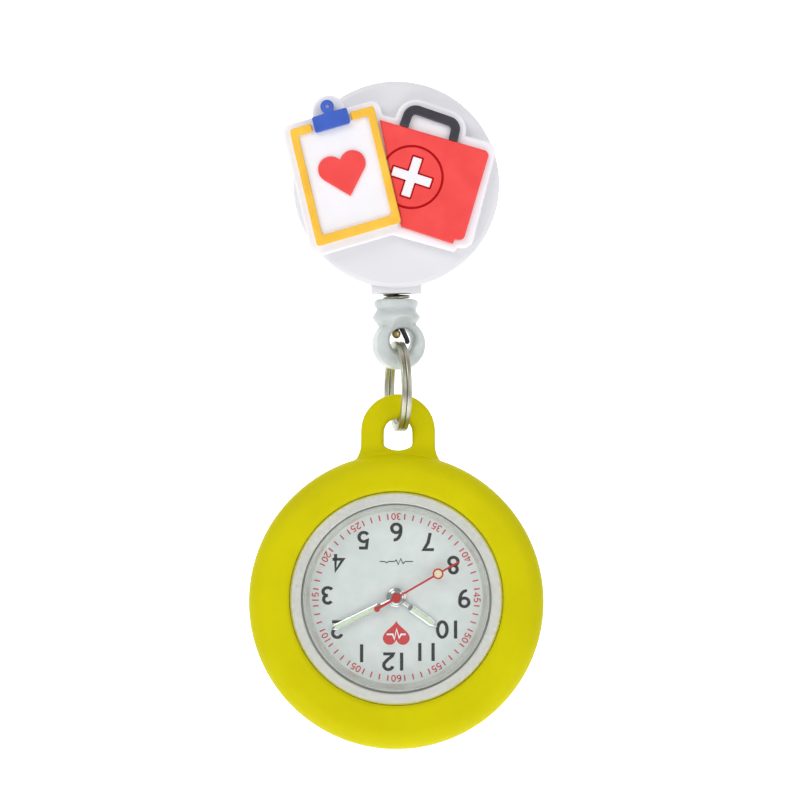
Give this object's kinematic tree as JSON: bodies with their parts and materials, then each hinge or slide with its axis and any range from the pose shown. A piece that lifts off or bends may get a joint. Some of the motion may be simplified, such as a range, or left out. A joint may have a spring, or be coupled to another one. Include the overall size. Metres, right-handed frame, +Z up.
{
  "type": "fob watch",
  "caption": "Fob watch that hangs upside down from a clip-on retractable reel, in a round silicone cover, with a soft clipboard and first-aid bag badge.",
  "frame": {"origin": "middle of the line where the clip's jaws meet", "axes": "+Z up, as the watch hangs; -Y is the front, where the badge and the dial face; +X is to the right seen from the front"},
  "size_m": [0.0458, 0.0223, 0.1038],
  "materials": {
    "spring_steel": "nickel plated",
    "reel_plastic": "moulded white plastic",
    "eyelet_metal": "plated brass",
    "cord_nylon": "braided nylon",
    "white_pvc": "soft moulded PVC",
    "red_pvc": "soft moulded PVC",
    "black_pvc": "soft moulded PVC",
    "yellow_pvc": "soft moulded PVC",
    "blue_pvc": "soft moulded PVC",
    "clear_rubber": "milky translucent rubber",
    "yellow_silicone": "matte silicone",
    "case_steel": "polished stainless steel",
    "gasket_rubber": "black rubber",
    "crystal_glass": "clear mineral glass",
    "dial_silver": "satin silver-white",
    "movement_plastic": "moulded plastic",
    "movement_brass": "turned brass",
    "movement_steel": "plated steel",
    "hand_chrome": "polished",
    "hand_red": "red lacquer",
    "lume": "pale luminous paint"
  },
  "bodies": {
    "clip_base": {"clip_base": "spring_steel", "clip_pin": "spring_steel", "clip_spring": "spring_steel", "swivel_rivet": "spring_steel"},
    "clip_lever": {"clip_lever": "spring_steel"},
    "reel": {"reel_back_shell": "reel_plastic", "reel_front_shell": "reel_plastic", "power_spring": "spring_steel", "cord_feed": "cord_nylon", "nozzle_eyelet": "eyelet_metal", "charm_base": "white_pvc", "kit_body": "red_pvc", "kit_plus": "white_pvc", "kit_handle": "black_pvc", "clipboard_frame": "yellow_pvc", "clipboard_clip": "blue_pvc", "clipboard_heart": "red_pvc"},
    "spool": {"spool": "reel_plastic", "cord_winding": "cord_nylon"},
    "cord_end": {"pull_cord": "cord_nylon", "crimp_bead": "eyelet_metal"},
    "connector": {"connector": "clear_rubber", "bumper_spring": "spring_steel"},
    "ring": {"split_ring": "spring_steel"},
    "watch": {"silicone_cover": "yellow_silicone", "case_body": "case_steel", "bezel": "case_steel", "crystal_gasket": "gasket_rubber", "crystal": "crystal_glass", "dial_ring": "case_steel", "dial": "dial_silver", "case_back": "case_steel", "case_back_gasket": "gasket_rubber", "movement_holder": "movement_plastic", "main_plate": "movement_brass", "train_bridge": "movement_brass", "stator": "movement_steel", "coil": "movement_brass", "circuit_board": "movement_plastic", "quartz_can": "movement_steel", "battery": "movement_steel", "battery_clamp": "movement_steel"},
    "seconds": {"second_arbor": "movement_brass", "second_hand": "hand_red", "second_lume": "lume"},
    "minutes": {"cannon_pinion": "movement_brass", "minute_hand": "hand_chrome", "minute_lume": "lume"},
    "hours": {"hour_wheel": "movement_brass", "hour_hand": "hand_chrome", "hour_lume": "lume"},
    "third": {"third_wheel": "movement_brass"},
    "intermediate": {"intermediate_wheel": "movement_brass"},
    "rotor": {"rotor": "movement_brass"},
    "minute_work": {"minute_wheel": "movement_brass"},
    "crown_slide": {"setting_lever": "movement_plastic"},
    "crown": {"stem": "case_steel", "crown": "case_steel"}
  },
  "joints": [
    {"name": "clip_open", "type": "hinge", "parent": "clip_base", "child": "clip_lever", "pos_m": [0, 0, 0.0155], "axis": [1, 0, 0], "range_deg": [0, 25], "stiffness_Nm_per_rad": 0.06, "springref_deg": -45.84, "deforming": ["clip_spring"]},
    {"name": "reel_swivel", "type": "hinge", "parent": "clip_base", "child": "reel", "pos_m": [0, -0.004, 0.012], "axis": [0, 1, 0], "continuous": true},
    {"name": "cord_pull", "type": "slide", "parent": "reel", "child": "cord_end", "axis": [0, 0, -1], "range_m": [0, 0.6], "stiffness_N_per_m": 1.5, "springref_m": -0.5, "deforming": ["pull_cord"]},
    {"name": "spool_turn", "type": "hinge", "parent": "reel", "child": "spool", "pos_m": [0, -0.009, 0.012], "axis": [0, 1, 0], "range_deg": [0, 3680]},
    {"name": "connector_twist", "type": "hinge", "parent": "cord_end", "child": "connector", "pos_m": [0, -0.009, -0.008], "axis": [0, 0, 1], "continuous": true},
    {"name": "ring_swing", "type": "hinge", "parent": "connector", "child": "ring", "pos_m": [0.00035, -0.009, -0.01288], "axis": [0.1822, -0.9833, 0], "range_deg": [-30, 30]},
    {"name": "watch_flip", "type": "hinge", "parent": "ring", "child": "watch", "pos_m": [0.00035, -0.009, -0.01933], "axis": [0.9833, 0.1822, 0], "range_deg": [-60, 60]},
    {"name": "seconds_turn", "type": "hinge", "parent": "watch", "child": "seconds", "pos_m": [0, -0.009, -0.0522], "axis": [0, 1, 0], "continuous": true},
    {"name": "minutes_turn", "type": "hinge", "parent": "watch", "child": "minutes", "pos_m": [0, -0.009, -0.0522], "axis": [0, 1, 0], "continuous": true},
    {"name": "hours_turn", "type": "hinge", "parent": "watch", "child": "hours", "pos_m": [0, -0.009, -0.0522], "axis": [0, 1, 0], "continuous": true},
    {"name": "third_turn", "type": "hinge", "parent": "watch", "child": "third", "pos_m": [-0.00368, -0.009, -0.05008], "axis": [0, 1, 0], "continuous": true},
    {"name": "intermediate_turn", "type": "hinge", "parent": "watch", "child": "intermediate", "pos_m": [0.00408, -0.009, -0.0522], "axis": [0, 1, 0], "continuous": true},
    {"name": "rotor_turn", "type": "hinge", "parent": "watch", "child": "rotor", "pos_m": [0.00548, -0.009, -0.04977], "axis": [0, 1, 0], "continuous": true},
    {"name": "minute_work_turn", "type": "hinge", "parent": "watch", "child": "minute_work", "pos_m": [0.0018, -0.009, -0.05532], "axis": [0, 1, 0], "continuous": true},
    {"name": "crown_pull", "type": "slide", "parent": "watch", "child": "crown_slide", "axis": [-1, 0, 0], "range_m": [0, 0.0008]},
    {"name": "crown_turn", "type": "hinge", "parent": "crown_slide", "child": "crown", "pos_m": [-0.0195, -0.0087, -0.0522], "axis": [-1, 0, 0], "continuous": true}
  ],
  "couplings": [
    {"joint": "spool_turn", "follows": "cord_pull", "rad_per_m": 106.95},
    {"joint": "minutes_turn", "follows": "seconds_turn", "ratio": 0.016667},
    {"joint": "hours_turn", "follows": "seconds_turn", "ratio": 0.0013889},
    {"joint": "third_turn", "follows": "seconds_turn", "ratio": -0.13333},
    {"joint": "intermediate_turn", "follows": "seconds_turn", "ratio": -5},
    {"joint": "rotor_turn", "follows": "seconds_turn", "ratio": 30},
    {"joint": "minute_work_turn", "follows": "seconds_turn", "ratio": -0.0055556}
  ]
}
